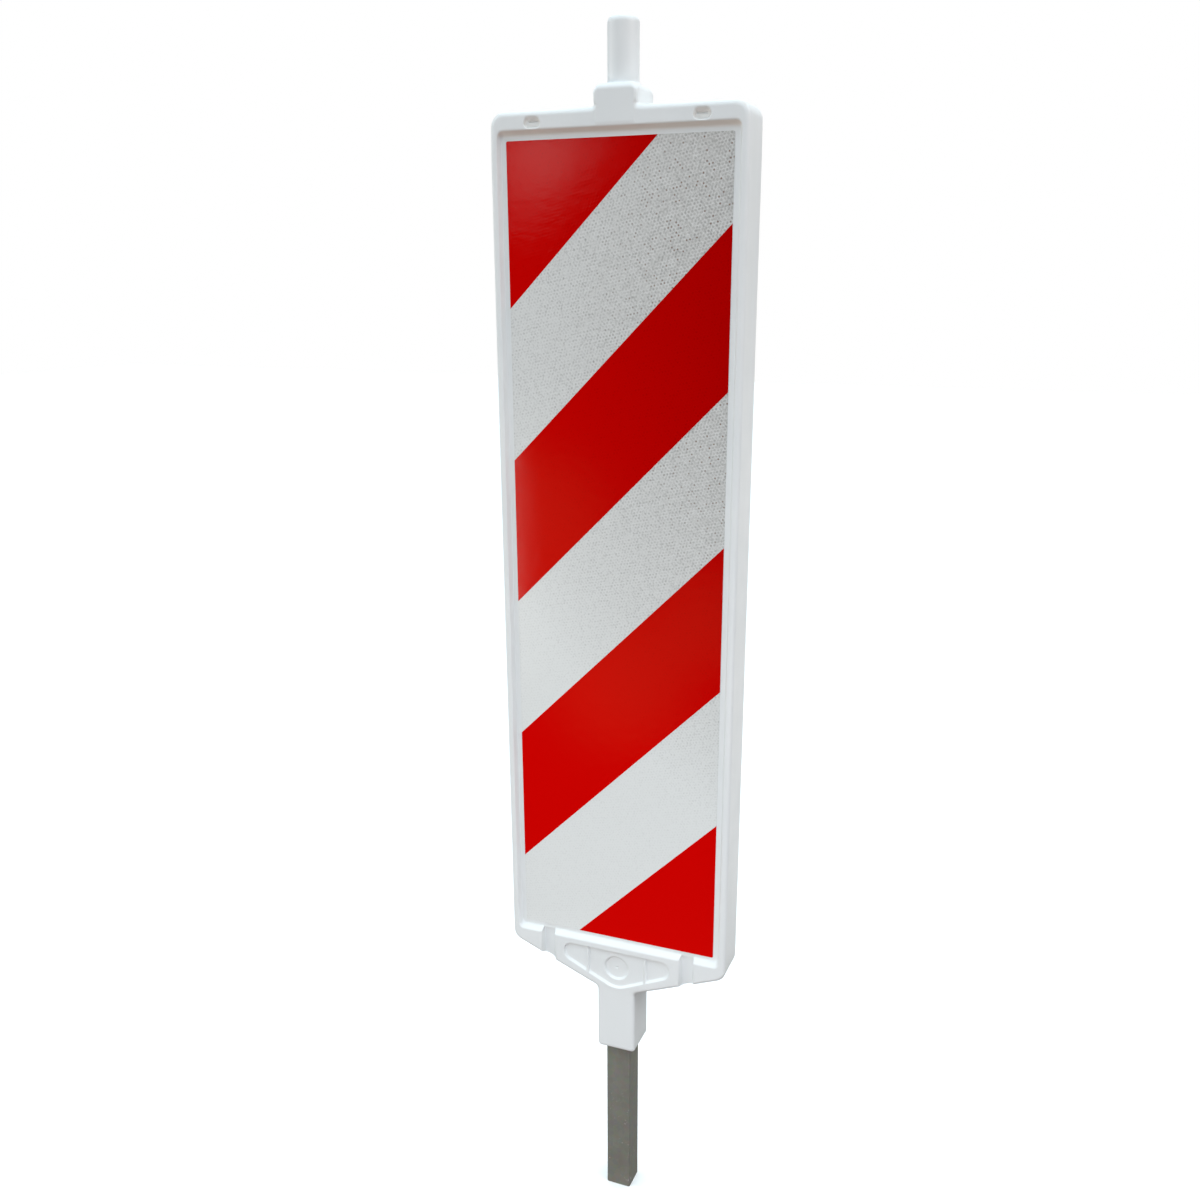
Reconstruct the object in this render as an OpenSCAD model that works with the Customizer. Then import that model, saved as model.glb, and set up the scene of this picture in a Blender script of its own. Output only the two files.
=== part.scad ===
// Road guide marker: a hollow moulded body with a rim round a flat panel, a
// reflective sheet with red slanting fields on its front, a lamp stub on top,
// and a square steel tube that plugs into a base plate.
// Origin at the middle of the tube's lower end. +Z up, the front faces -Y.

/* [Reflective sheet] */
// Width of the reflective sheet
sheet_w = 270; // [200:1:300]
// Height of the reflective sheet
sheet_h = 1000; // [600:5:1200]
// Thickness of the reflective sheet
sheet_t = 0.5; // [0.3:0.1:1]
// Corner radius of the reflective sheet
sheet_r = 2; // [1:0.5:6]
// Distance between two slanting edges, measured along the sheet's side
stripe_pitch = 179.3; // [120:0.1:200]
// Height of the first slanting edge above one full pitch
stripe_offset = 3.9; // [0:0.1:10]
// Thickness of the red film fields
film_t = 0.15; // [0.1:0.05:0.3]

/* [Panel] */
// Width of the moulded panel over its rim
panel_w = 306; // [302:1:340]
// Thickness of the moulded panel over both rims
panel_t = 55; // [52:1:60]
// Height of the rim above the sheet's top edge
rim_top = 31; // [26:1:40]
// Depth of the flat panel behind the rim's face
recess_d = 6.5; // [4:0.5:7]
// Bare margin between the sheet's side and the foot of the rim
side_margin = 6; // [3:0.5:7]
// Bare margin above the sheet
top_margin = 5; // [3:0.5:8]
// Bare margin below the sheet
bottom_margin = 3.7; // [1:0.1:4]
// Width of the rim's slope at the sides
side_slope = 4; // [2:0.5:5]
// Width of the rim's slope at the top
top_slope = 7; // [3:0.5:9]
// Width of the rim's slope at the bottom
bottom_slope = 9; // [4:0.5:9]
// Corner radius of the panel at the top
top_corner_r = 17; // [8:1:22]
// Corner radius of the panel at the bottom
bottom_corner_r = 17; // [10:1:22]
// Radius of the panel's outer edges
edge_r = 4.5; // [2:0.5:5]
// Wall thickness of the moulding
wall = 3; // [2:0.5:3]

/* [Apron] */
// Drop of the apron's tip below the sheet's lower edge
apron_drop = 78.4; // [70:0.2:90]
// Slope of the apron's lower edges, rise over run
apron_slope = 0.41; // [0.35:0.01:0.45]
// Depth of the ribbed pocket in the apron
pocket_d = 3; // [1:0.5:4]
// Half of the width of the ribbed pocket
pocket_half = 77; // [60:1:80]
// Distance of the two ribs from the middle
rib_x = 42; // [30:1:50]
// Width of the two ribs at their face
rib_w = 3.6; // [2:0.2:6]
// Diameter of the round dish
dish_d = 37; // [24:1:38]
// Depth of the round dish below the pocket's floor
dish_depth = 2.5; // [1:0.5:3]
// Distance from the middle to the middle of each drain channel
channel_x = 100; // [95:1:108]
// Width of each drain channel
channel_w = 20; // [10:1:22]
// Depth of each drain channel below the rim's face
channel_d = 7.5; // [5:0.5:8]

/* [Sleeve and tube] */
// Side of the square sleeve
sleeve_s = 54; // [50:1:56]
// Radius of the sleeve's upright edges
sleeve_r = 5; // [3:0.5:6]
// Side of the square steel tube
tube_s = 35; // [30:0.5:35]
// Wall thickness of the steel tube
tube_t = 2; // [1.5:0.5:3]
// Corner radius of the steel tube
tube_r = 2.5; // [2:0.5:4]
// Length of the tube below the sleeve
tube_free = 237; // [100:1:300]
// Whole length of the tube
tube_len = 600; // [500:10:900]
// Clearance between the tube and its socket on each side
tube_gap = 0.3; // [0.1:0.1:0.4]
// Length of the sleeve below the apron's tip
sleeve_len = 94.6; // [60:0.2:120]

/* [Top fittings] */
// Width of the shoulder block
block_w = 52; // [46:1:56]
// How far the block's faces stand proud of the rim's faces
block_proud = 0.5; // [0.2:0.1:1.5]
// Height of the block above the rim
block_h = 23; // [15:1:30]
// Corner radius of the block at its top
block_corner_r = 9; // [4:1:12]
// Diameter of the lamp stub
stub_d = 35.4; // [30:0.1:42]
// Height of the lamp stub above the block
stub_h = 68.5; // [50:0.5:90]
// Radius of the stub's top edge
stub_edge = 5; // [2:0.5:6]
// Distance of the oval recesses from the middle
oval_x = 99.5; // [80:0.5:110]
// Width of each oval recess
oval_w = 22; // [16:1:26]
// Height of each oval recess
oval_h = 14; // [10:1:16]
// Depth of each oval recess
oval_d = 5; // [3:0.5:6]
// Width of the slit in each oval recess
slit_w = 12; // [6:1:14]
// Height of the slit in each oval recess
slit_h = 2.8; // [1:0.2:5]

/* [Hidden] */
$fn = 48;
eps = 0.01;
half_w = panel_w / 2;
half_t = panel_t / 2;
floor_y = half_t - recess_d;
sleeve_z = tube_free;
tip_z = sleeve_z + sleeve_len;
sheet_z0 = tip_z + apron_drop;
sheet_z1 = sheet_z0 + sheet_h;
rim_z1 = sheet_z1 + rim_top;
block_z1 = rim_z1 + block_h;
stub_z1 = block_z1 + stub_h;
apron_a = atan(apron_slope);
corner_x = half_w - bottom_corner_r;
// Height of the apron's lower line at a distance x from the middle
function apron_z(x) = tip_z + (x - sleeve_s / 2) * apron_slope;
corner_z = apron_z(corner_x) + bottom_corner_r / cos(apron_a);
bore = tube_s + 2 * tube_gap;
cav_y = floor_y - wall;
stop_z = tube_len;
oval_z = rim_z1 - rim_top + 18.3;
pocket_z1 = sheet_z0 - 19;
pocket_z0 = tip_z + 1;

// Points of a rectangle with rounded corners, around its middle
function round_rect(w, h, r, n = 6) = [
    for (q = [0:3]) for (i = [0:n])
        let (a = q * 90 + i * 90 / n,
             cx = (q == 0 || q == 3) ? w / 2 - r : r - w / 2,
             cy = (q < 2) ? h / 2 - r : r - h / 2)
        [cx + r * cos(a), cy + r * sin(a)]
];

// An outline in X and Z, given a thickness along Y between y0 and y1
module slab(y0, y1) {
    translate([0, y1, 0]) rotate([90, 0, 0]) linear_extrude(height = y1 - y0) children();
}

// Points of a corner's arc
function arc(cx, cz, r, a0, a1, n) = [for (i = [0:n]) let (a = a0 + (a1 - a0) * i / n) [cx + r * cos(a), cz + r * sin(a)]];

// Points of the panel's outline, moved in by a distance
function panel_pts(in) = let (
    tx = half_w - top_corner_r, tz = rim_z1 - top_corner_r,
    zt = tip_z + in / cos(apron_a)) concat(
    arc(tx, tz, top_corner_r - in, 0, 90, 8),
    arc(-tx, tz, top_corner_r - in, 90, 180, 8),
    arc(-corner_x, corner_z, bottom_corner_r - in, 180, 270 - apron_a, 7),
    [[-sleeve_s / 2, zt], [sleeve_s / 2, zt]],
    arc(corner_x, corner_z, bottom_corner_r - in, 270 + apron_a, 360, 7));

// The panel with its outer edges rounded
module panel_shell() {
    hull() for (a = [0:22.5:90])
        let (in = edge_r * (1 - cos(a)), t = half_t - edge_r * (1 - sin(a)))
        slab(-t, t) polygon(panel_pts(in));
}

module block_shell() {
    bt = half_t + block_proud;
    hull() for (a = [0:30:90])
        let (in = 3 * (1 - cos(a)), t = bt - 3 * (1 - sin(a)))
        slab(-t, t) polygon(concat(
            [[-block_w / 2 + in, rim_z1 - 18], [block_w / 2 - in, rim_z1 - 18]],
            arc(block_w / 2 - block_corner_r, block_z1 - block_corner_r, block_corner_r - in, 0, 90, 5),
            arc(block_corner_r - block_w / 2, block_z1 - block_corner_r, block_corner_r - in, 90, 180, 5)));
}

// The square sleeve, with a small round at its lower edge
module sleeve_shell() {
    translate([0, 0, sleeve_z + 1.5]) linear_extrude(height = tip_z - sleeve_z + 14)
        polygon(round_rect(sleeve_s, sleeve_s, sleeve_r));
    translate([0, 0, sleeve_z]) linear_extrude(height = 1.6)
        polygon(round_rect(sleeve_s - 1.6, sleeve_s - 1.6, sleeve_r - 0.8));
}

module stub_shell() {
    translate([0, 0, block_z1 - 4]) rotate_extrude($fn = 96) polygon(concat(
        [[0, 0], [stub_d / 2, 0]],
        [for (a = [0:15:90]) [stub_d / 2 - stub_edge + stub_edge * cos(a), stub_h + 4 - stub_edge + stub_edge * sin(a)]],
        [[0, stub_h + 4]]));
}

// The flat recess that holds the sheet: four sloping sides down to a flat floor
module recess() {
    over = 2;
    k = (recess_d + over) / recess_d;
    fx = sheet_w / 2 + side_margin;
    z0 = sheet_z0 - bottom_margin;
    z1 = sheet_z1 + top_margin;
    intersection() {
        translate([0, 0, z0 - 40]) linear_extrude(height = z1 - z0 + 80) polygon([
            [-fx, -floor_y], [-fx - side_slope * k, -floor_y - recess_d * k],
            [fx + side_slope * k, -floor_y - recess_d * k], [fx, -floor_y]]);
        translate([-half_w, 0, 0]) rotate([90, 0, 90]) linear_extrude(height = panel_w) polygon([
            [-floor_y, z0], [-floor_y, z1],
            [-floor_y - recess_d * k, z1 + top_slope * k], [-floor_y - recess_d * k, z0 - bottom_slope * k]]);
    }
}

// Points of the pocket's outline, moved in by a distance
function pocket_pts(in) = let (h = pocket_half - in, z1 = pocket_z1 - in, z0 = pocket_z0 + in) [
    [-h + 12, z1], [h - 12, z1], [h - 3, z1 - 5], [h, z1 - 13], [h - 1, z1 - 23 + in], [h - 7, z1 - 28 + 2 * in],
    [14, z0 + 3], [5, z0], [-5, z0], [-14, z0 + 3],
    [-h + 7, z1 - 28 + 2 * in], [-h + 1, z1 - 23 + in], [-h, z1 - 13], [-h + 3, z1 - 5]];

// The pocket in the apron, with two ribs left standing and a round dish
module pocket() {
    yf = -half_t;
    difference() {
        hull() {
            slab(yf - 1, yf) polygon(pocket_pts(0));
            slab(yf, yf + pocket_d) polygon(pocket_pts(1.4));
        }
        for (s = [-1, 1]) translate([s * rib_x, 0, pocket_z0 - 10]) linear_extrude(height = 80)
            polygon([[-rib_w / 2, yf - 2], [rib_w / 2, yf - 2], [rib_w / 2, yf], [rib_w / 2 + 0.8, yf + pocket_d + 1], [-rib_w / 2 - 0.8, yf + pocket_d + 1], [-rib_w / 2, yf]]);
    }
    translate([0, yf + pocket_d - 0.5, (pocket_z0 + pocket_z1) / 2 + 2.7]) rotate([-90, 0, 0]) {
        cylinder(d1 = dish_d + 1, d2 = dish_d - 5, h = dish_depth + 0.5, $fn = 64);
        cylinder(d = 4, h = dish_depth + 1.3, $fn = 32);
    }
}

module channels() {
    for (s = [-1, 1]) translate([s * channel_x - channel_w / 2, -half_t - 1, tip_z - 10])
        cube([channel_w, channel_d + 1, sheet_z0 - bottom_margin - 0.5 - tip_z + 10]);
}

module ovals() {
    for (s = [-1, 1]) translate([s * oval_x, 0, oval_z]) {
        slab(-half_t - 1, -half_t + oval_d) polygon(round_rect(oval_w, oval_h, oval_h / 2 - 0.2, 8));
        translate([-s * 1 - slit_w / 2, -half_t + oval_d - 1, 0]) cube([slit_w, half_t, slit_h]);
    }
}

// What is cut from one face of the moulding; the other face is the same turned half round
module face_cuts() {
    recess();
    pocket();
    channels();
}

// The hollow inside, with the tube's socket left standing in it
module hollow() {
    in = wall;
    difference() {
        slab(-cav_y, cav_y) polygon([
            [-half_w + in + 12, rim_z1 - in], [-half_w + in, rim_z1 - in - 12],
            [-half_w + in, corner_z], [-corner_x, apron_z(corner_x) + in + 3],
            [-bore / 2 - 2 * in, apron_z(bore / 2 + 2 * in) + in + 3], [-bore / 2 - 2 * in, apron_z(bore / 2) + 12],
            [bore / 2 + 2 * in, apron_z(bore / 2) + 12], [bore / 2 + 2 * in, apron_z(bore / 2 + 2 * in) + in + 3],
            [corner_x, apron_z(corner_x) + in + 3], [half_w - in, corner_z],
            [half_w - in, rim_z1 - in - 12], [half_w - in - 12, rim_z1 - in]]);
        translate([-bore / 2 - in, -half_t, 0]) cube([bore + 2 * in, panel_t, stop_z + in]);
    }
    slab(-cav_y, cav_y) polygon([
        [-block_w / 2 + in, rim_z1 - 20], [block_w / 2 - in, rim_z1 - 20],
        [block_w / 2 - in, block_z1 - in - 7], [block_w / 2 - in - 7, block_z1 - in],
        [-block_w / 2 + in + 7, block_z1 - in], [-block_w / 2 + in, block_z1 - in - 7]]);
    translate([0, 0, block_z1 - in - 2]) cylinder(d = stub_d - 2 * in, h = stub_h + 2, $fn = 64);
}

module body() {
    color([0.83, 0.86, 0.87]) difference() {
        union() {
            panel_shell();
            block_shell();
            sleeve_shell();
            stub_shell();
        }
        face_cuts();
        rotate([0, 0, 180]) face_cuts();
        ovals();
        rotate([0, 0, 180]) ovals();
        hollow();
        translate([-bore / 2, -bore / 2, sleeve_z - 1]) cube([bore, bore, stop_z - sleeve_z + 1]);
    }
}

module steel_tube() {
    color([0.42, 0.42, 0.38]) difference() {
        linear_extrude(height = tube_len) polygon(round_rect(tube_s, tube_s, tube_r));
        translate([0, 0, -1]) linear_extrude(height = tube_len + 2)
            polygon(round_rect(tube_s - 2 * tube_t, tube_s - 2 * tube_t, max(tube_r - tube_t, 0.5)));
    }
}

module sheet_outline() {
    translate([0, (sheet_z0 + sheet_z1) / 2]) polygon(round_rect(sheet_w, sheet_h, sheet_r, 4));
}

module reflective_sheet() {
    color([0.84, 0.86, 0.86]) slab(-floor_y - sheet_t, -floor_y) sheet_outline();
}

// Height below the sheet's top of the slanting edge k, where it meets the left side
function edge_at(k) = k * stripe_pitch + stripe_offset;

// One slanting band between two edges
module band(k0, k1) {
    x0 = -sheet_w / 2;
    polygon([[x0, sheet_z1 - edge_at(k0)], [x0, sheet_z1 - edge_at(k1)],
             [x0 + 2 * sheet_w, sheet_z1 - edge_at(k1) + 2 * sheet_w],
             [x0 + 2 * sheet_w, sheet_z1 - edge_at(k0) + 2 * sheet_w]]);
}

module red_fields() {
    color([0.72, 0.04, 0.03]) slab(-floor_y - sheet_t - film_t, -floor_y - sheet_t) intersection() {
        sheet_outline();
        union() {
            for (k = [0:2:4]) band(k == 0 ? -2 : k, k + 1);
            polygon([
                [-sheet_w / 2 + 2 * sheet_w, sheet_z1 - edge_at(6) + 2 * sheet_w],
                [-sheet_w / 2, sheet_z1 - edge_at(6)],
                [-sheet_w / 2, sheet_z1 - edge_at(6) - sheet_w],
                [-sheet_w / 2 + 2 * sheet_w, sheet_z1 - edge_at(6) - sheet_w]]);
        }
    }
}

body();
steel_tube();
reflective_sheet();
red_fields();
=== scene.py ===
import bpy, bmesh, math
import numpy as np
from mathutils import Matrix, Vector
from mathutils.geometry import delaunay_2d_cdt

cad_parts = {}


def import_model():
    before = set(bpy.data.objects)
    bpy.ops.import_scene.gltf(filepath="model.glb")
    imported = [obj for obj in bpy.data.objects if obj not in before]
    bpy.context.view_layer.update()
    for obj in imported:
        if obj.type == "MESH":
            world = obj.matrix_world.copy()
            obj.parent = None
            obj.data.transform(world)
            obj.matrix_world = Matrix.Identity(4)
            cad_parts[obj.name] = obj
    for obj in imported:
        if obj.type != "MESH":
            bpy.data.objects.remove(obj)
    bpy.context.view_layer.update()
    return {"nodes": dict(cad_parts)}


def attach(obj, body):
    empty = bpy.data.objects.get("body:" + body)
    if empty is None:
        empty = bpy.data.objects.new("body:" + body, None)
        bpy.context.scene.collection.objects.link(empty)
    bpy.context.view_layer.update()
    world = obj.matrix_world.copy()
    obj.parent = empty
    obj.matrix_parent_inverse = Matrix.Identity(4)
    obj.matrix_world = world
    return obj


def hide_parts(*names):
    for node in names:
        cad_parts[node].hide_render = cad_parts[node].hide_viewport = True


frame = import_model()


scene = bpy.context.scene
nodes = frame["nodes"]
MM = 0.001
# sky and ground by height and side, as radiance
SKY = [("deep", "front", (0.14, 0.05, 0.03)), ("deep", "back", (0.02, 0.02, 0.02)),
       ("deep", "left", (0.06, 0.06, 0.06)), ("deep", "right", (0.04, 0.04, 0.04)),
       ("ground", "front", (0.14, 0.05, 0.03)), ("ground", "back", (1.34, 1.33, 1.31)),
       ("ground", "left", (0.06, 0.06, 0.06)), ("ground", "right", (0.06, 0.06, 0.06)),
       ("low", "front", (0.52, 0.46, 0.39)), ("low", "back", (0.86, 0.88, 0.88)),
       ("low", "left", (0.10, 0.10, 0.10)), ("low", "right", (0.07, 0.07, 0.07)),
       ("mid", "front", (0.62, 0.80, 0.92)), ("mid", "back", (0.90, 0.92, 0.92)),
       ("mid", "left", (0.86, 1.06, 1.12)), ("mid", "right", (0.98, 1.06, 1.08)),
       ("high", "all", (1.60, 1.86, 2.02))]
OVERHEAD, LOW, LOW2 = (2.9, 1.5, 1.0), (8.9, 8.5, 7.4), (16.3, 16.3, 16.7)
BESIDE, BESIDE2 = (21.0, 18.4, 17.0), (15.0, 13.8, 13.2)

# ---------------------------------------------------------------- camera
CAM_POS = (0.5055, -1.3118, 1.2555)
RX, RY, RZ = 0.301, 0.374, -0.001
FOCAL = 1163.4 / 1200.0 * 36.0


def camera_matrix():
    cx, sx, cy, sy, cz, sz = math.cos(RX), math.sin(RX), math.cos(RY), math.sin(RY), math.cos(RZ), math.sin(RZ)
    rx = np.array([[1, 0, 0], [0, cx, -sx], [0, sx, cx]])
    ry = np.array([[cy, 0, sy], [0, 1, 0], [-sy, 0, cy]])
    rz = np.array([[cz, -sz, 0], [sz, cz, 0], [0, 0, 1]])
    r = rz @ rx @ ry @ np.array([[1, 0, 0], [0, 0, -1], [0, 1, 0]])
    m = Matrix.Identity(4)
    for i in range(3):
        m[i][0], m[i][1], m[i][2], m[i][3] = r[0][i], -r[1][i], -r[2][i], CAM_POS[i]
    return m


cam_data = bpy.data.cameras.new("photo_view")
cam = bpy.data.objects.new("photo_view", cam_data)
scene.collection.objects.link(cam)
cam.matrix_world = camera_matrix()
cam_data.sensor_fit = "HORIZONTAL"
cam_data.sensor_width = 36.0
cam_data.lens = FOCAL
cam_data.shift_x = -16.19 / 1200.0
cam_data.shift_y = 44.63 / 1200.0
cam_data.clip_start = 0.05
cam_data.clip_end = 60.0
scene.camera = cam

# ---------------------------------------------------------------- sizes in mm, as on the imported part
HALF_W, RIM_T, FLOOR_T = 153.0, 27.5, 21.0
SLEEVE_Z, TIP_Z, SHEET_Z0, SHEET_Z1 = 237.0, 331.6, 410.0, 1410.0
RIM_Z1, BLOCK_Z1, STUB_Z1 = 1441.0, 1464.0, 1532.5
SLEEVE_H, BLOCK_H, STUB_R = 27.0, 26.0, 17.7
EDGE_R, TOP_EDGE_R = 4.6, 6.6
APRON_SLOPE = 0.410


# ---------------------------------------------------------------- plane geometry
def rounded(verts, seg_deg=9.0, step=7.0):
    """Points and inward normals round a closed outline whose corners are (x, z, radius)."""
    n = len(verts)
    pts, nrm, ends = [], [], []
    for i in range(n):
        p0, p1, p2 = (np.array(verts[(i + k) % n][:2], float) for k in (-1, 0, 1))
        r = verts[i][2]
        u = (p1 - p0) / np.linalg.norm(p1 - p0)
        v = (p2 - p1) / np.linalg.norm(p2 - p1)
        turn = math.atan2(u[0] * v[1] - u[1] * v[0], float(u @ v))
        back = r * math.tan(abs(turn) / 2)
        a, b = p1 - u * back, p1 + v * back
        nu, nv = np.array([-u[1], u[0]]), np.array([-v[1], v[0]])
        side = 1.0 if turn > 0 else -1.0
        c = a + nu * r * side
        k = max(2, int(math.ceil(abs(math.degrees(turn)) / seg_deg)))
        arc = []
        for j in range(k + 1):
            t = turn * j / k
            m = np.array([nu[0] * math.cos(t) - nu[1] * math.sin(t), nu[0] * math.sin(t) + nu[1] * math.cos(t)])
            arc.append((c - m * r * side, m))
        ends.append(arc)
    for i in range(n):
        for p, m in ends[i]:
            pts.append(p)
            nrm.append(m)
        a, m = ends[i][-1]
        b = ends[(i + 1) % n][0][0]
        length = float(np.linalg.norm(b - a))
        s = step if length < 330 else 34.0
        k = int(length // s)
        for j in range(1, k):
            pts.append(a + (b - a) * j / k)
            nrm.append(m)
    return np.array(pts), np.array(nrm)


def seg_distance(points, loop):
    """Distance from each point to a closed loop."""
    a, b = loop, np.roll(loop, -1, axis=0)
    d = b - a
    l2 = np.maximum((d ** 2).sum(1), 1e-12)
    out = np.full(len(points), 1e9)
    for s in range(0, len(points), 4000):
        p = points[s:s + 4000]
        w = p[:, None, :] - a[None]
        t = np.clip((w * d[None]).sum(2) / l2[None], 0, 1)
        e = w - t[..., None] * d[None]
        out[s:s + 4000] = np.sqrt((e ** 2).sum(2).min(1))
    return out


def inside(points, loop):
    x, y = points[:, 0], points[:, 1]
    c = np.zeros(len(points), bool)
    a, b = loop, np.roll(loop, -1, axis=0)
    for (x0, y0), (x1, y1) in zip(a, b):
        if y0 == y1:
            continue
        hit = ((y0 > y) != (y1 > y)) & (x < (x1 - x0) * (y - y0) / (y1 - y0) + x0)
        c ^= hit
    return c


def box_sdf(p, cx, cz, hx, hz, r):
    qx, qz = np.abs(p[:, 0] - cx) - (hx - r), np.abs(p[:, 1] - cz) - (hz - r)
    return np.hypot(np.maximum(qx, 0), np.maximum(qz, 0)) + np.minimum(np.maximum(qx, qz), 0) - r


def ease(t, e=0.3):
    """0 to 1 in a straight slope with rounded ends."""
    t = np.clip(t, 0, 1)
    k = 1.0 / (1.0 - e)
    return np.where(t < e, t * t / (2 * e) * k, np.where(t > 1 - e, 1 - (1 - t) ** 2 / (2 * e) * k, (t - e / 2) * k))


def smin(a, b, k):
    h = np.clip(0.5 + 0.5 * (b - a) / k, 0, 1)
    return b * (1 - h) + a * h - k * h * (1 - h)


# ---------------------------------------------------------------- the moulding's face as a depth over X and Z
RIGHT = [(SLEEVE_H, SLEEVE_Z, 5.0), (SLEEVE_H, TIP_Z, 8.0),
         (HALF_W, TIP_Z + (HALF_W - SLEEVE_H) * APRON_SLOPE, 17.0), (HALF_W, RIM_Z1, 17.0),
         (BLOCK_H, RIM_Z1, 2.5), (BLOCK_H, BLOCK_Z1, 9.0)]
OUTLINE = RIGHT + [(-x, z, r) for x, z, r in reversed(RIGHT)]
OUT_P, OUT_N = rounded(OUTLINE)

POCKET_V = [(77.0, 391.0, 13.0), (-77.0, 391.0, 13.0), (-77.0, 367.0, 14.0), (0.0, 331.3, 30.0), (77.0, 367.0, 14.0)]
POCKET_P, POCKET_N = rounded(POCKET_V, seg_deg=8, step=6)


def pocket_run(p):
    """How far the pocket's wall runs in, steeper along the top."""
    return 4.0 - 2.2 * ease((p[:, 1] - 371.0) / 14.0)


DISH = (0.0, 364.5)

FLOOR_BOX = (0.0, (1415.0 + 406.3) / 2, 141.0, (1415.0 - 406.3) / 2, 5.0)
RIM_BOX = (0.0, (1422.0 + 397.3) / 2, 145.0, (1422.0 - 397.3) / 2, 8.0)
OVAL_X, OVAL_Z = 99.8, 1428.3
SLIT_X, SLIT_Z = 99.0, 1429.5


def face_level(p):
    """The outer face without anything cut into it."""
    x, z = np.abs(p[:, 0]), p[:, 1]
    base = RIM_T - 0.5 * ease((347.0 - z) / 22.0)
    return base + 0.45 * ease((24.2 - x) / 2.5) * ease((z - 1421.0) / 4.0)


def oval_run(p):
    """How far an oval's wall runs in: short below, long above."""
    return 2.3 + 2.6 * ease((p[:, 1] - OVAL_Z + 2.5) / 7.0)


def level(p):
    x, z = np.abs(p[:, 0]), p[:, 1]
    base = face_level(p)
    # the recess for the sheet
    df, dr = box_sdf(p, *FLOOR_BOX), box_sdf(p, *RIM_BOX)
    t = np.where(dr >= 0, 1.0, np.where(df <= 0, 0.0, df / np.maximum(df - dr, 1e-9)))
    lev = FLOOR_T + (base - FLOOR_T) * ease(t, 0.34)
    # the drain channels: the recess floor runs on through the rim, steps down, and leaves at the lower edge
    # steep beside the rim's slope, flaring towards the edge
    u = np.clip((399.0 - z) / 34.0, 0, 1)
    t = np.clip((np.abs(x - 100.0) - 8.0 + 2.0 * u) / (2.2 + 3.6 * u), 0, 1)
    chan = 21.0 - 2.1 * ease((403.4 - z) / 1.1, 0.25) + 8.3 * ease(t, 0.42)
    chan = np.where(np.abs(x - 100.0) > 12.2, 40.0, chan)
    lev = np.where(z < 408.0, smin(lev, chan, 0.35), lev)
    # the apron's pocket with its ribs, dish and dimple
    near = (z < 400) & (x < 90)
    if near.any():
        q = p[near]
        dp = np.where(inside(q, POCKET_P), -1.0, 1.0) * seg_distance(q, POCKET_P)
        rib = 1.0 - ease((np.abs(np.abs(q[:, 0]) - 41.5) - 0.6) / 2.3, 0.45)
        floor = 24.5 - 0.5 * ease((q[:, 1] - 374.0) / 14.0) + 2.85 * rib
        r = np.hypot(q[:, 0] - DISH[0], q[:, 1] - DISH[1])
        floor = floor - 3.0 * (1 - ease((r - 14.9) / 3.3, 0.4)) - 1.5 * (1 - ease((r - 0.8) / 1.5, 0.45))
        wall = ease(dp / pocket_run(q) + 1.0, 0.3)
        lev[near] = np.minimum(lev[near], floor + (lev[near] - floor) * wall)
    # the oval recesses with their slits
    near = z > 1418
    if near.any():
        q = np.c_[np.abs(p[near][:, 0]), p[near][:, 1]]
        do = box_sdf(q, OVAL_X, OVAL_Z, 11.0, 7.2, 7.1)
        ds = box_sdf(q, SLIT_X, SLIT_Z, 6.2, 1.6, 1.5)
        deep = 24.3 - 2.2 * (1 - ease((ds + 0.9) / 1.5, 0.4))
        run = oval_run(q)
        lev[near] = np.minimum(lev[near], deep + (lev[near] - deep) * ease(do / run + 1.0, 0.42))
    return lev


def edge_radius(p):
    """The rounding of the outer edge, larger along the top."""
    z = p[:, 1]
    return EDGE_R + (TOP_EDGE_R - EDGE_R) * ease((z - 1385.0) / 45.0) - 3.4 * ease((z - 1442.0) / 3.0) + 4.2 * ease((z - 1454.0) / 7.0)


def height(p):
    r = edge_radius(p)
    d = np.minimum(seg_distance(p, OUT_P), r)
    edge = face_level(p) - r + np.sqrt(np.maximum(r ** 2 - (r - d) ** 2, 0))
    return np.minimum(level(p), edge)


def loop_box(b, n=9, step=30.0):
    cx, cz, hx, hz, r = b
    return rounded([(cx + hx, cz - hz, r), (cx + hx, cz + hz, r), (cx - hx, cz + hz, r), (cx - hx, cz - hz, r)], 90.0 / n, step)


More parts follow.
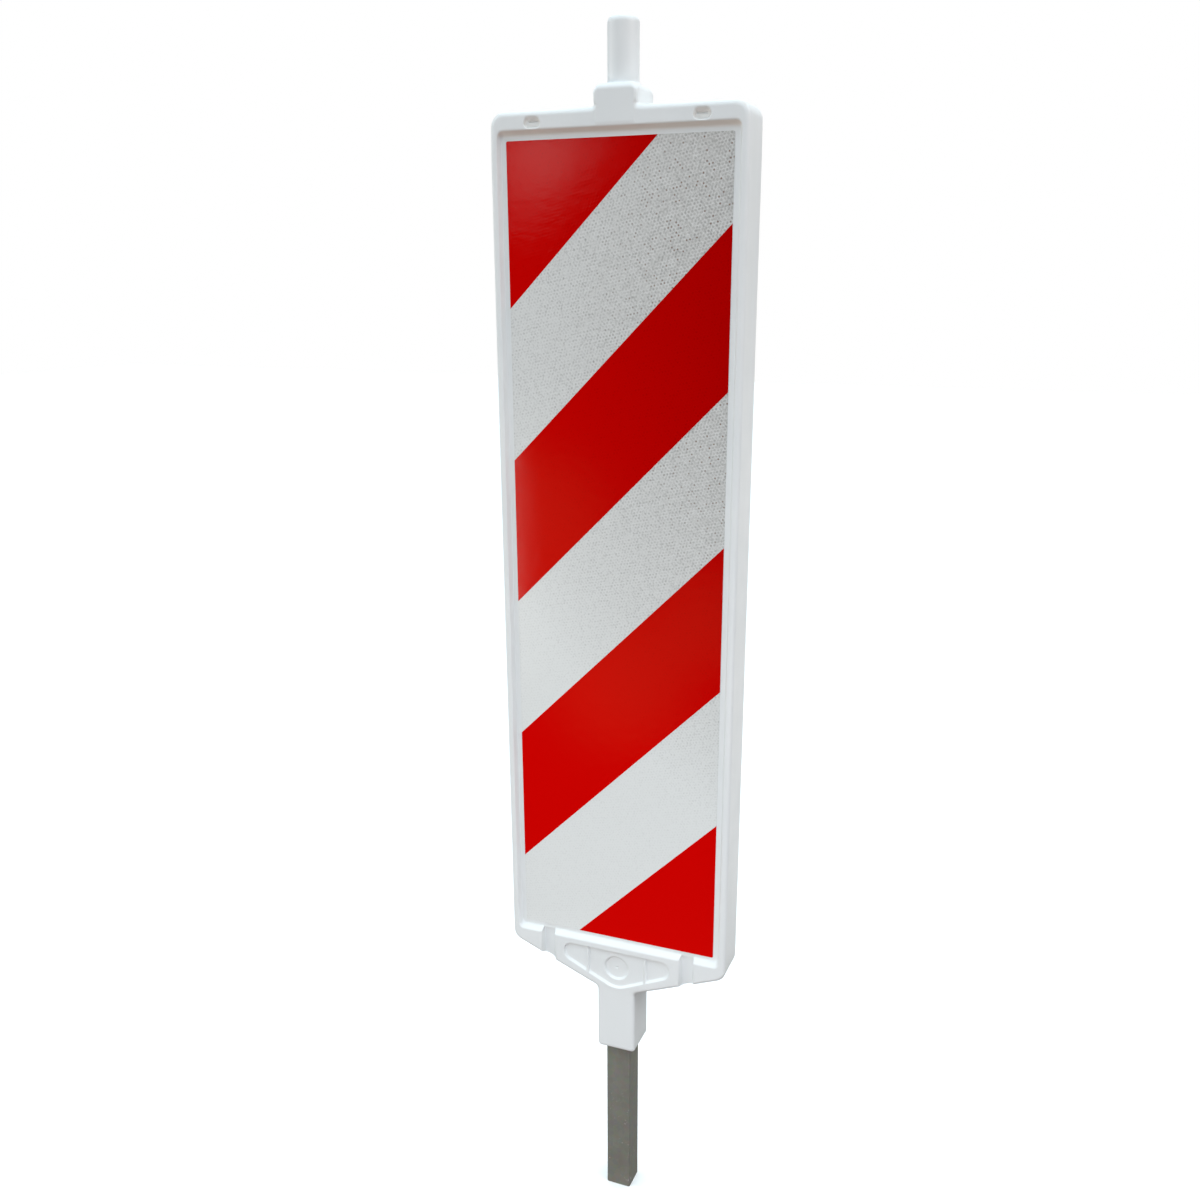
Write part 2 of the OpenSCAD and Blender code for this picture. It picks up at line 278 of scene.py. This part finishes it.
def face_mesh():
    """Points in X and Z, and triangles, with lines along every edge of the relief."""
    pts, edges = [], []

    def add(line, closed=True):
        s = len(pts)
        pts.extend(Vector((float(a), float(b))) for a, b in line)
        k = len(line)
        edges.extend((s + i, s + i + 1) for i in range(k - 1))
        if closed:
            edges.append((s + k - 1, s))

    def straight(a, b, step=4.0):
        a, b = np.array(a, float), np.array(b, float)
        k = max(1, int(np.linalg.norm(b - a) // step))
        add([a + (b - a) * i / k for i in range(k + 1)], False)

    rad = edge_radius(OUT_P)[:, None]
    for a in (0, 13, 26, 39, 52, 65, 78, 90):
        add(OUT_P + OUT_N * rad * (1 - math.cos(math.radians(a))))
    add(OUT_P + OUT_N * (rad + 0.5))
    # the recess: the floor's edge and the rim's edge are matched point by point
    corners = []
    for b in (FLOOR_BOX, RIM_BOX):
        cx, cz, hx, hz, r = b
        loop = []
        for q, (sx, sz) in enumerate([(1, -1), (1, 1), (-1, 1), (-1, -1)]):
            for i in range(10):
                a = math.radians(-90 + q * 90 + i * 10)
                loop.append((cx + sx * (hx - r) + r * math.cos(a), cz + sz * (hz - r) + r * math.sin(a)))
            # along the next side
            nx, nz = [(1, 1), (-1, 1), (-1, -1), (1, -1)][q]
            a0 = loop[-1]
            a1 = {0: (cx + hx, cz + hz - r), 1: (cx - hx + r, cz + hz), 2: (cx - hx, cz - hz + r), 3: (cx + hx - r, cz - hz)}[q]
            k = 30 if q in (0, 2) else 46
            loop += [(a0[0] + (a1[0] - a0[0]) * j / k, a0[1] + (a1[1] - a0[1]) * j / k) for j in range(1, k)]
        corners.append(np.array(loop))
    for t in (0, 0.085, 0.17, 0.255, 0.34, 0.5, 0.66, 0.745, 0.83, 0.915, 1.0):
        add(corners[0] * (1 - t) + corners[1] * t)
    grow = corners[1] - corners[0]
    grow = grow / np.linalg.norm(grow, axis=1)[:, None]
    add(corners[0] - grow * 1.2)
    add(corners[1] + grow * 0.5)
    # channels
    for s in (-1, 1):
        for dx in (5.6, 6.1, 6.6, 7.1, 7.6, 8.0, 8.3, 8.6, 8.9, 9.2, 9.5, 9.8, 10.1, 10.4, 10.8, 11.2, 11.7, 12.3):
            for e in (-1, 1):
                x = s * (100 + e * dx)
                straight((x, 408.2), (x, TIP_Z + (abs(x) - SLEEVE_H) * APRON_SLOPE + 0.05), 3.0)
        for z in (408.0, 407.4, 406.8, 406.3, 403.7, 403.4, 403.25, 403.1, 402.95, 402.75, 402.55, 402.4, 402.3, 402.0, 400.2):
            straight((s * 87.6, z), (s * 112.4, z), 4.0)
    # pocket
    for d in (-0.6, 0, 0.27, 0.54, 0.81, 1.08, 1.35, 1.62, 1.89, 2.16, 2.43, 2.7, 3.3):
        add(POCKET_P + POCKET_N * (d / 2.7 * pocket_run(POCKET_P))[:, None])
    for s in (-1, 1):
        for dx in (0.4, 0.7, 1.1, 1.5, 1.85, 2.2, 2.55, 2.9, 3.3):
            for e in (-1, 1):
                straight((s * 41.5 + e * dx, 350.0 - 1.5), (s * 41.5 + e * dx, 390.0), 3.0)
    for r in (14.5, 14.9, 15.3, 15.7, 16.2, 16.7, 17.2, 17.7, 18.2, 18.7):
        add([(DISH[0] + r * math.cos(a), DISH[1] + r * math.sin(a)) for a in np.linspace(0, 2 * math.pi, 65)[:-1]])
    for r in (0.5, 0.9, 1.3, 1.65, 2.0, 2.4, 2.9):
        add([(DISH[0] + r * math.cos(a), DISH[1] + r * math.sin(a)) for a in np.linspace(0, 2 * math.pi, 21)[:-1]])
    # ovals
    for s in (-1, 1):
        lo, no = loop_box((s * OVAL_X, OVAL_Z, 11.0, 7.2, 7.1), 12, 4.0)
        for d in (-0.5, 0, 0.25, 0.5, 0.8, 1.1, 1.4, 1.7, 2.0, 2.3, 2.55, 2.8, 3.3):
            add(lo + no * (d / 2.8 * oval_run(lo))[:, None])
        lo, no = loop_box((s * SLIT_X, SLIT_Z, 6.2, 1.6, 1.5), 6, 3.0)
        for d in (-0.6, -0.3, 0, 0.3, 0.6, 0.9, 1.2):
            add(lo + no * d)
    # the block's faces stand a little proud
    for s in (-1, 1):
        for x in (21.2, 21.7, 22.2, 22.7, 23.2, 23.7, 24.2, 24.7):
            straight((s * x, 1420.5), (s * x, 1459.0 if x < 24.2 else 1446.0), 3.0)
    for z in (1421.0, 1421.8, 1422.6, 1423.4, 1424.2, 1425.0):
        straight((-25.5, z), (25.5, z), 4.0)
    for z in np.arange(323.0, 349.0, 2.5):
        if z < TIP_Z + 3:
            straight((-26.9, z), (26.9, z), 5.0)
    cons = np.array([(v.x, v.y) for v in pts])
    # free points where several shapes run into each other
    grid = [(x, z) for z in np.arange(240.0, 408.0, 3.2) for x in np.arange(-151.0, 151.1, 3.2)]
    grid += [(x, z) for z in np.arange(1423.0, 1462.0, 3.2) for x in np.arange(-151.0, 151.1, 3.2)]
    grid = np.array(grid)
    grid = grid[inside(grid, OUT_P)]
    keep = np.ones(len(grid), bool)
    for s in range(0, len(grid), 500):
        d = np.sqrt(((grid[s:s + 500, None] - cons[None]) ** 2).sum(2)).min(1)
        keep[s:s + 500] = d > 1.5
    grid = grid[keep]
    dense = pts + [Vector((float(a), float(b))) for a, b in grid]
    v, _, f, _, _, _ = delaunay_2d_cdt(dense, edges, [], 1, 1e-4)
    return np.array([(p.x, p.y) for p in v]), [tuple(t) for t in f]


def build_shell():
    p, tris = face_mesh()
    # nothing outside the outline is kept
    cen = np.array([p[list(t)].mean(0) for t in tris])
    ok = inside(cen, OUT_P)
    tris = [t for t, k in zip(tris, ok) if k]
    area = lambda t: (p[t[1]][0] - p[t[0]][0]) * (p[t[2]][1] - p[t[0]][1]) - (p[t[1]][1] - p[t[0]][1]) * (p[t[2]][0] - p[t[0]][0])
    tris = [t if area(t) > 0 else t[::-1] for t in tris]
    used = sorted({i for t in tris for i in t})
    at = {i: k for k, i in enumerate(used)}
    p = p[used]
    tris = [tuple(at[i] for i in t) for t in tris]
    h = height(p)
    n = len(p)
    verts = [(a, -b, c) for (a, c), b in zip(p, h)] + [(a, b, c) for (a, c), b in zip(p, h)]
    # a triangle that runs counter-clockwise in X and Z faces -Y
    faces = [t for t in tris] + [tuple(n + i for i in reversed(t)) for t in tris]
    count = {}
    for t in tris:
        for a, b in ((t[0], t[1]), (t[1], t[2]), (t[2], t[0])):
            count[(a, b)] = count.get((a, b), 0) + 1
    rim = [(a, b) for (a, b) in count if (b, a) not in count]
    rows = {}

    def row(i):
        if i not in rows:
            ids = [i]
            for y in (-(h[i] - 0.6), -h[i] * 0.5, 0.0, h[i] * 0.5, h[i] - 0.6):
                ids.append(len(verts))
                verts.append((p[i][0], y, p[i][1]))
            ids.append(n + i)
            rows[i] = ids
        return rows[i]

    for a, b in rim:
        ra, rb = row(a), row(b)
        for k in range(6):
            faces.append((rb[k], ra[k], ra[k + 1], rb[k + 1]))
    me = bpy.data.meshes.new("moulding")
    me.from_pydata([(a * MM, b * MM, c * MM) for a, b, c in verts], [], faces)
    me.validate()
    me.update()
    return me


def lathe(name, profile, seg=112):
    """A closed solid turned about Z from (radius, z) points; the first and last lie on the axis."""
    verts, faces = [(0, 0, profile[0][1] * MM)], []
    rings = []
    for r, z in profile[1:-1]:
        rings.append(len(verts))
        verts += [(r * math.cos(2 * math.pi * i / seg) * MM, r * math.sin(2 * math.pi * i / seg) * MM, z * MM) for i in range(seg)]
    top = len(verts)
    verts.append((0, 0, profile[-1][1] * MM))
    for i in range(seg):
        j = (i + 1) % seg
        faces.append((0, rings[0] + j, rings[0] + i))
        for a, b in zip(rings, rings[1:]):
            faces.append((a + i, a + j, b + j, b + i))
        faces.append((rings[-1] + i, rings[-1] + j, top))
    me = bpy.data.meshes.new(name)
    me.from_pydata(verts, [], faces)
    me.update()
    return me


def obj(name, me):
    o = bpy.data.objects.new(name, me)
    scene.collection.objects.link(o)
    return o


def box_mesh(name, lo, hi):
    v = [(x * MM, y * MM, z * MM) for z in (lo[2], hi[2]) for y in (lo[1], hi[1]) for x in (lo[0], hi[0])]
    f = [(0, 2, 3, 1), (4, 5, 7, 6), (0, 1, 5, 4), (2, 6, 7, 3), (0, 4, 6, 2), (1, 3, 7, 5)]
    me = bpy.data.meshes.new(name)
    me.from_pydata(v, [], f)
    me.update()
    return me


shell = obj("moulded_body", build_shell())
prof = [(0, BLOCK_Z1 - 1.6), (STUB_R + 2.9, BLOCK_Z1 - 1.6)]
prof += [(STUB_R + 3.0 - 3.0 * math.sin(a), BLOCK_Z1 - 0.1 + 4.5 - 4.5 * math.cos(a)) for a in np.linspace(0.15, math.pi / 2, 9)]
prof += [(STUB_R, BLOCK_Z1 + 7), (STUB_R, BLOCK_Z1 + 24), (STUB_R, BLOCK_Z1 + 44), (STUB_R, STUB_Z1 - 8.4)]
prof += [(STUB_R - 7.4 + 7.4 * math.cos(a), STUB_Z1 - 7.4 + 7.4 * math.sin(a)) for a in np.linspace(0, math.pi / 2, 13)]
prof += [(STUB_R - 8.6, STUB_Z1), (0, STUB_Z1)]
stub = obj("stub_tool", lathe("stub_tool", prof))
bore = obj("bore_tool", box_mesh("bore_tool", (-17.8, -17.8, SLEEVE_Z - 5), (17.8, 17.8, 600.0)))
for tool, how in ((stub, "UNION"), (bore, "DIFFERENCE")):
    m = shell.modifiers.new(tool.name, "BOOLEAN")
    m.operation, m.object, m.solver = how, tool, "EXACT"
dg = bpy.context.evaluated_depsgraph_get()
done = bpy.data.meshes.new_from_object(shell.evaluated_get(dg))
shell.modifiers.clear()
shell.data = done
done.name = "moulded_body"
# slivers left along the seams of the stub and the bore
bm = bmesh.new()
bm.from_mesh(done)
bmesh.ops.remove_doubles(bm, verts=bm.verts, dist=3e-6)
bmesh.ops.dissolve_degenerate(bm, dist=3e-6, edges=bm.edges)
bm.to_mesh(done)
bm.free()
for t in (stub, bore):
    bpy.data.objects.remove(t, do_unlink=True)
done.shade_smooth()
done.set_sharp_from_angle(angle=math.radians(38))


# ---------------------------------------------------------------- materials
class Nodes:
    """Short ways to wire a node tree."""

    def __init__(self, tree, space):
        self.t = tree
        self.t.nodes.clear()
        self.co = self.t.nodes.new("ShaderNodeTexCoord").outputs[space]

    def put(self, socket, v):
        if hasattr(v, "is_output"):
            self.t.links.new(v, socket)
        else:
            socket.default_value = v

    def math(self, op, a, b=0.0, c=None, clamp=False):
        n = self.t.nodes.new("ShaderNodeMath")
        n.operation = op
        n.use_clamp = clamp
        self.put(n.inputs[0], a)
        self.put(n.inputs[1], b)
        if c is not None:
            self.put(n.inputs[2], c)
        return n.outputs[0]

    def scaled(self, s, co=None):
        n = self.t.nodes.new("ShaderNodeMapping")
        n.inputs["Scale"].default_value = s
        self.t.links.new(co or self.co, n.inputs["Vector"])
        return n.outputs[0]

    def noise(self, scale, detail=3.0, rough=0.5, co=None, distort=0.0):
        n = self.t.nodes.new("ShaderNodeTexNoise")
        self.t.links.new(co or self.co, n.inputs["Vector"])
        n.inputs["Scale"].default_value = scale
        n.inputs["Detail"].default_value = detail
        n.inputs["Roughness"].default_value = rough
        n.inputs["Distortion"].default_value = distort
        return n.outputs[0]

    def voronoi(self, scale, feature="F1", out="Distance", co=None):
        n = self.t.nodes.new("ShaderNodeTexVoronoi")
        n.feature = feature
        self.t.links.new(co or self.co, n.inputs["Vector"])
        n.inputs["Scale"].default_value = scale
        return n.outputs[out]

    def ramp(self, v, stops):
        n = self.t.nodes.new("ShaderNodeValToRGB")
        self.t.links.new(v, n.inputs[0])
        e = n.color_ramp.elements
        while len(e) < len(stops):
            e.new(0.5)
        for k, (p, c) in zip(e, stops):
            k.position = p
            k.color = c if len(c) == 4 else (*c, 1)
        return n.outputs[0]

    def span(self, v, a, b, c=0.0, d=1.0):
        n = self.t.nodes.new("ShaderNodeMapRange")
        n.clamp = True
        self.put(n.inputs[0], v)
        for i, x in enumerate((a, b, c, d)):
            n.inputs[i + 1].default_value = x
        return n.outputs[0]

    def mix(self, f, a, b, mode="MIX"):
        n = self.t.nodes.new("ShaderNodeMix")
        n.data_type = "RGBA"
        n.blend_type = mode
        self.put(n.inputs[0], f)
        self.put(n.inputs[6], a if hasattr(a, "is_output") else (*a, 1))
        self.put(n.inputs[7], b if hasattr(b, "is_output") else (*b, 1))
        return n.outputs[2]

    def bump(self, h, strength, dist, normal=None):
        n = self.t.nodes.new("ShaderNodeBump")
        n.inputs["Strength"].default_value = strength
        n.inputs["Distance"].default_value = dist
        self.t.links.new(h, n.inputs["Height"])
        if normal is not None:
            self.t.links.new(normal, n.inputs["Normal"])
        return n.outputs[0]

    def xyz(self, co=None):
        n = self.t.nodes.new("ShaderNodeSeparateXYZ")
        self.t.links.new(co or self.co, n.inputs[0])
        return n.outputs


class Tree(Nodes):
    """A material on one Principled shader."""

    def __init__(self, name):
        self.mat = bpy.data.materials.new(name)
        self.mat.use_nodes = True
        super().__init__(self.mat.node_tree, "Object")
        self.out = self.t.nodes.new("ShaderNodeOutputMaterial")
        self.bsdf = self.t.nodes.new("ShaderNodeBsdfPrincipled")
        self.t.links.new(self.bsdf.outputs[0], self.out.inputs[0])

    def set(self, **kw):
        for k, v in kw.items():
            self.put(self.bsdf.inputs[k.replace("_", " ")], v)


def hex_cells(t, pitch, turn=12.5):
    """A honeycomb in X and Z, turned a little: 0 at a cell's middle, near 1 at its edge; and a random value per cell."""
    x, _, z = t.xyz()
    c, s = math.cos(math.radians(turn)) / pitch, math.sin(math.radians(turn)) / pitch
    px = t.math("ADD", t.math("MULTIPLY", x, c), t.math("MULTIPLY", z, s))
    pz = t.math("SUBTRACT", t.math("MULTIPLY", z, c), t.math("MULTIPLY", x, s))
    root = math.sqrt(3.0)

    def local(ox, oz):
        a = t.math("SUBTRACT", t.math("FLOORED_MODULO", t.math("ADD", px, ox), 1.0), 0.5)
        b = t.math("SUBTRACT", t.math("FLOORED_MODULO", t.math("ADD", pz, oz), root), root / 2)
        return a, b, t.math("ADD", t.math("MULTIPLY", a, a), t.math("MULTIPLY", b, b))

    a0, b0, d0 = local(400.0, 400.0 * root)
    a1, b1, d1 = local(400.5, 400.5 * root)
    first = t.math("LESS_THAN", d0, d1)
    pick = lambda u, v: t.math("ADD", v, t.math("MULTIPLY", first, t.math("SUBTRACT", u, v)))
    la, lb = pick(a0, a1), pick(b0, b1)
    gx, gz = t.math("ABSOLUTE", la), t.math("ABSOLUTE", lb)
    slant = t.math("ADD", t.math("MULTIPLY", gx, 0.5), t.math("MULTIPLY", gz, root / 2))
    where = t.t.nodes.new("ShaderNodeCombineXYZ")
    t.t.links.new(t.math("ROUND", t.math("MULTIPLY", t.math("SUBTRACT", px, la), 2.0)), where.inputs[0])
    t.t.links.new(t.math("ROUND", t.math("MULTIPLY", t.math("SUBTRACT", pz, lb), 2.0 / root)), where.inputs[1])
    rnd = t.t.nodes.new("ShaderNodeTexWhiteNoise")
    rnd.noise_dimensions = "3D"
    t.t.links.new(where.outputs[0], rnd.inputs["Vector"])
    return t.math("MULTIPLY", t.math("MAXIMUM", gx, slant), 2.0), rnd.outputs["Value"]


def plastic():
    t = Tree("white_moulded_plastic")
    slow = t.noise(7.0, 3.0, 0.5)
    fine = t.noise(260.0, 3.0, 0.55)
    smear = t.noise(16.0, 4.0, 0.6, co=t.scaled((1.0, 1.0, 0.35)))
    tone = t.ramp(slow, [(0.3, (0.79, 0.82, 0.83)), (0.7, (0.83, 0.85, 0.855))])
    tone = t.mix(t.span(smear, 0.55, 0.8, 0.0, 0.10), tone, (0.66, 0.66, 0.63))
    # painted shade: a brown darkening painted along the recess's downward-facing upper slope, and more faintly into the
    # ovals, where shade falls
    x, y, z = t.xyz()
    ax, ay = t.math("ABSOLUTE", x), t.math("ABSOLUTE", y)
    painted_recess_shade = t.math("MULTIPLY", t.math("MULTIPLY", t.span(ay, 0.0262, 0.0270, 1.0, 0.0), t.span(ax, 0.1470, 0.1485, 1.0, 0.0)),
                   t.math("MULTIPLY", t.span(z, 1.4135, 1.4170), t.span(z, 1.4205, 1.4225, 1.0, 0.45)))
    tone = t.mix(t.math("MULTIPLY", painted_recess_shade, t.span(z, 1.4370, 1.4385, 0.5, 0.0)), tone, (0.70, 0.60, 0.49))
    t.set(Base_Color=tone, IOR=1.5, Subsurface_Weight=0.15, Subsurface_Scale=0.003)
    t.bsdf.inputs["Subsurface Radius"].default_value = (1.0, 1.0, 1.0)
    t.set(Roughness=t.span(t.noise(40.0, 3.0), 0.3, 0.7, 0.34, 0.46))
    t.set(Normal=t.bump(fine, 0.10, 0.0006, t.bump(t.noise(9.0, 2.0, 0.4), 0.25, 0.004)))
    return t.mat


def sheet_sheen_and_cells(t):
    """Painted sheen: 0 at the sheet's upper right, 1 at its lower left, where the sheeting is painted lighter in place
    of the light it sends back; and the honeycomb's strength there.
    """
    x, _, z = t.xyz()
    dx, dz = t.math("SUBTRACT", x, 0.505), t.math("SUBTRACT", z, 1.2555)
    d = t.math("SQRT", t.math("ADD", t.math("MULTIPLY", dx, dx), t.math("MULTIPLY", dz, dz)))
    return t.span(d, 0.39, 0.74), t.span(d, 0.40, 0.78, 1.0, 0.14)


def white_sheet():
    t = Tree("white_prismatic_sheet")
    cell, rnd = hex_cells(t, 0.00405)
    painted_sheen, near = sheet_sheen_and_cells(t)
    edge = t.span(cell, 0.62, 0.98)
    mid = t.span(cell, 0.15, 0.75, 1.0, 0.0)
    patch = t.noise(290.0, 2.0, 0.6)
    wide = t.noise(70.0, 3.0, 0.6, distort=0.6)
    slow = t.noise(5.0, 3.0, 0.5)
    # painted sheen: the white sheeting's tone is painted lighter towards its lower left, standing in for the light it
    # sends back there
    base = t.mix(painted_sheen, (0.560, 0.556, 0.542), (0.815, 0.835, 0.828))
    base = t.mix(t.span(slow, 0.3, 0.7, 0.0, 0.05), base, (0.60, 0.62, 0.62))
    light = t.math("MULTIPLY", t.math("MULTIPLY", edge, near), t.span(wide, 0.35, 0.65, 0.25, 1.0))
    col = t.mix(t.math("MULTIPLY", light, 0.60), base, (0.86, 0.88, 0.88))
    dark = t.math("MULTIPLY", t.math("MULTIPLY", mid, near), t.math("MULTIPLY", t.span(rnd, 0.15, 0.95, 0.10, 1.0), t.span(patch, 0.35, 0.6, 0.6, 1.0)))
    col = t.mix(t.math("MULTIPLY", dark, 0.75), col, (0.25, 0.25, 0.245))
    grain = t.noise(430.0, 1.0, 0.5)
    col = t.mix(t.math("MULTIPLY", t.span(grain, 0.55, 0.72, 0.0, 0.55), near), col, (0.80, 0.81, 0.80))
    col = t.mix(t.math("MULTIPLY", t.span(grain, 0.28, 0.45, 0.50, 0.0), near), col, (0.26, 0.26, 0.255))
    brown = t.math("MULTIPLY", t.math("MULTIPLY", t.span(cell, 0.25, 0.50, 1.0, 0.0), t.span(near, 0.66, 0.95)), t.math("GREATER_THAN", rnd, 0.905))
    col = t.mix(t.math("MULTIPLY", brown, 0.85), col, (0.20, 0.10, 0.055))
    t.set(Base_Color=col, IOR=1.5, Roughness=0.16)
    t.set(Normal=t.bump(edge, 0.10, 0.0002))
    return t.mat


def red_film():
    t = Tree("red_glossy_film")
    cell, rnd = hex_cells(t, 0.00405)
    painted_sheen, near = sheet_sheen_and_cells(t)
    edge = t.span(cell, 0.62, 0.98)
    slow = t.noise(4.0, 3.0, 0.5)
    # painted sheen: the red film's tone is painted lighter towards its lower left, standing in for the light it sends
    # back there
    base = t.mix(painted_sheen, (0.455, 0.0002, 0.0001), (0.690, 0.0008, 0.0003))
    base = t.mix(t.span(slow, 0.3, 0.7, 0.0, 0.05), base, (0.40, 0.0, 0.0))
    col = t.mix(t.math("MULTIPLY", t.math("MULTIPLY", edge, near), 0.10), base, (0.75, 0.002, 0.001))
    col = t.mix(t.math("MULTIPLY", t.math("MULTIPLY", t.span(cell, 0.2, 0.7, 1.0, 0.0), near), t.span(rnd, 0.6, 1.0, 0.0, 0.30)), col, (0.25, 0.0, 0.0))
    t.set(Base_Color=col, IOR=1.5, Roughness=0.06)
    wav = t.noise(55.0, 3.0, 0.6, co=t.scaled((1.0, 1.0, 1.6)))
    t.set(Normal=t.bump(edge, 0.05, 0.0002, t.bump(wav, 0.08, 0.0010)))
    return t.mat


def tube_steel():
    t = Tree("weathered_zinc")
    spangle = t.voronoi(160.0, out="Color")
    streak = t.noise(60.0, 4.0, 0.6, co=t.scaled((1.0, 1.0, 0.08)))
    cloud = t.noise(28.0, 4.0, 0.6)
    col = t.ramp(cloud, [(0.3, (0.195, 0.193, 0.166)), (0.7, (0.235, 0.232, 0.201))])
    col = t.mix(0.12, col, t.mix(1.0, spangle, (0.26, 0.26, 0.23), "MULTIPLY"))
    col = t.mix(t.span(streak, 0.4, 0.75, 0.0, 0.40), col, (0.165, 0.163, 0.140))
    speck = t.math("MULTIPLY", t.span(t.noise(420.0, 2.0, 0.5), 0.66, 0.72), t.span(t.noise(45.0, 2.0), 0.52, 0.62))
    col = t.mix(speck, col, (0.50, 0.48, 0.44))
    t.set(Base_Color=col, Metallic=0.15, IOR=1.5)
    t.set(Roughness=t.span(cloud, 0.3, 0.7, 0.5, 0.66))
    t.set(Normal=t.bump(t.noise(500.0, 3.0), 0.15, 0.0004, t.bump(cloud, 0.2, 0.0015)))
    return t.mat


def give(o, mat):
    o.data.materials.clear()
    o.data.materials.append(mat)


def give_cad(o, mat):
    if not o.material_slots:
        o.data.materials.append(mat)
    for s in o.material_slots:
        s.material = mat


give(shell, plastic())
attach(shell, "root")
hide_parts("body")
give_cad(nodes["reflective_sheet"], white_sheet())
give_cad(nodes["red_fields"], red_film())
give_cad(nodes["steel_tube"], tube_steel())


# ---------------------------------------------------------------- floor, light
def studio():
    me = bpy.data.meshes.new("floor")
    s = 14.0
    me.from_pydata([(-s, -s, 0), (s, -s, 0), (s, s, 0), (-s, s, 0)], [], [(0, 1, 2, 3)])
    floor = obj("floor", me)
    m = Tree("pale_floor")
    m.set(Base_Color=(0.92, 0.92, 0.92, 1), Roughness=0.9)
    me.materials.append(m.mat)
    # the floor is lit, but what the object gets from below is the world's own, darker ground
    floor.visible_diffuse = False
    floor.visible_glossy = False
    floor.visible_shadow = False

    world = bpy.data.worlds.new("studio")
    scene.world = world
    world.use_nodes = True
    w = Nodes(world.node_tree, "Generated")
    out = w.t.nodes.new("ShaderNodeOutputWorld")
    x, y, z = w.xyz()
    flat = w.math("MAXIMUM", w.math("SUBTRACT", 1.0, w.math("MULTIPLY", z, z)), 0.0001)

    def quarter(v, sign):
        p = w.math("MAXIMUM", w.math("MULTIPLY", v, sign), 0.0)
        return w.math("DIVIDE", w.math("MULTIPLY", p, p), flat)

    def hat(*stops):
        n = w.t.nodes.new("ShaderNodeValToRGB")
        w.t.links.new(w.math("MULTIPLY_ADD", z, 0.5, 0.5), n.inputs[0])
        e = n.color_ramp.elements
        while len(e) < len(stops):
            e.new(0.5)
        for k, (p, c) in zip(e, stops):
            k.position = p * 0.5 + 0.5
            k.color = (c, c, c, 1)
        return n.outputs[0]

    side = {"right": quarter(x, 1.0), "left": quarter(x, -1.0), "front": quarter(y, -1.0), "back": quarter(y, 1.0), "all": None}
    band = {"deep": hat((-0.60, 1), (-0.49, 0)), "ground": hat((-0.60, 0), (-0.49, 1), (-0.12, 1), (0.02, 0)), "low": hat((-0.12, 0), (0.08, 1), (0.24, 1), (0.45, 0)),
            "mid": hat((0.24, 0), (0.45, 1), (0.60, 1), (0.80, 0)), "high": hat((0.60, 0), (0.80, 1))}
    tone = None
    for b, s_, c in SKY:
        f = band[b] if side[s_] is None else w.math("MULTIPLY", band[b], side[s_])
        part = w.mix(f, (0.0, 0.0, 0.0), tuple(v / 4.0 for v in c))
        tone = part if tone is None else w.mix(1.0, tone, part, "ADD")

    def toward(az, el):
        a, e = math.radians(az), math.radians(el)
        n = w.t.nodes.new("ShaderNodeVectorMath")
        n.operation = "DOT_PRODUCT"
        w.t.links.new(w.co, n.inputs[0])
        n.inputs[1].default_value = (-math.sin(a) * math.cos(e), -math.cos(a) * math.cos(e), math.sin(e))
        return n.outputs["Value"]

    def disc(az, el, r0, r1):
        n = w.t.nodes.new("ShaderNodeMapRange")
        n.interpolation_type = "SMOOTHSTEP"
        w.t.links.new(toward(az, el), n.inputs[0])
        n.inputs[1].default_value = math.cos(math.radians(r1))
        n.inputs[2].default_value = math.cos(math.radians(r0))
        return n.outputs[0]

    tone = w.mix(w.math("MULTIPLY", disc(21.0, -8.0, 17.0, 34.0), 1.0), tone, (0.0, 0.0, 0.0))
    for az, el, r0, r1, f, c in ((25.0, 5.6, 0.4, 2.1, 0.95, (0.36, 0.36, 0.34)),
                                 (23.0, 6.4, 0.1, 1.5, 0.35, (0.36, 0.36, 0.34)),
                                 (25.9, 3.4, 0.1, 1.5, 0.30, (0.36, 0.36, 0.34)),
                                 (25.6, -11.6, 0.5, 5.0, 0.85, (0.062, 0.044, 0.020)),
                                 (17.0, -16.0, 0.5, 3.5, 0.75, (0.062, 0.044, 0.020)),
                                 (21.2, -19.0, 0.5, 4.5, 0.85, (0.062, 0.044, 0.020))):
        tone = w.mix(w.math("MULTIPLY", disc(az, el, r0, r1), f), tone, c)
    bg = w.t.nodes.new("ShaderNodeBackground")
    w.t.links.new(tone, bg.inputs[0])
    bg.inputs[1].default_value = 4.0
    plainbg = w.t.nodes.new("ShaderNodeBackground")
    plainbg.inputs[0].default_value = (1, 1, 1, 1)
    seen = w.t.nodes.new("ShaderNodeLightPath").outputs["Is Camera Ray"]
    pick = w.t.nodes.new("ShaderNodeMixShader")
    w.t.links.new(seen, pick.inputs[0])
    w.t.links.new(bg.outputs[0], pick.inputs[1])
    w.t.links.new(plainbg.outputs[0], pick.inputs[2])
    w.t.links.new(pick.outputs[0], out.inputs[0])

    def area(name, loc, target, size, power):
        d = bpy.data.lights.new(name, "AREA")
        d.shape = "RECTANGLE"
        d.size, d.size_y = size
        d.energy = max(power)
        d.color = tuple(v / max(max(power), 1e-6) for v in power)
        o = bpy.data.objects.new(name, d)
        scene.collection.objects.link(o)
        v = Vector(target) - Vector(loc)
        o.matrix_world = Matrix.Translation(loc) @ v.to_track_quat("-Z", "Y").to_matrix().to_4x4()
        return o

    area("overhead", (0.35, -1.0, 4.2), (0, 0, 0.9), (2.4, 2.4), OVERHEAD)
    area("low_left", (-1.7, -1.5, 0.35), (0, 0, 0.45), (1.6, 0.8), LOW)
    area("low_right", (0.55, -2.0, 0.20), (0, 0, 0.45), (1.3, 0.8), LOW2)
    area("beside", (2.5, -0.35, 2.6), (0.15, 0, 0.9), (1.4, 1.4), BESIDE)
    area("beside_left", (-2.5, -0.55, 2.0), (-0.15, 0, 0.9), (1.6, 1.4), BESIDE2)


studio()
scene.view_settings.view_transform = "Standard"
scene.view_settings.look = "None"
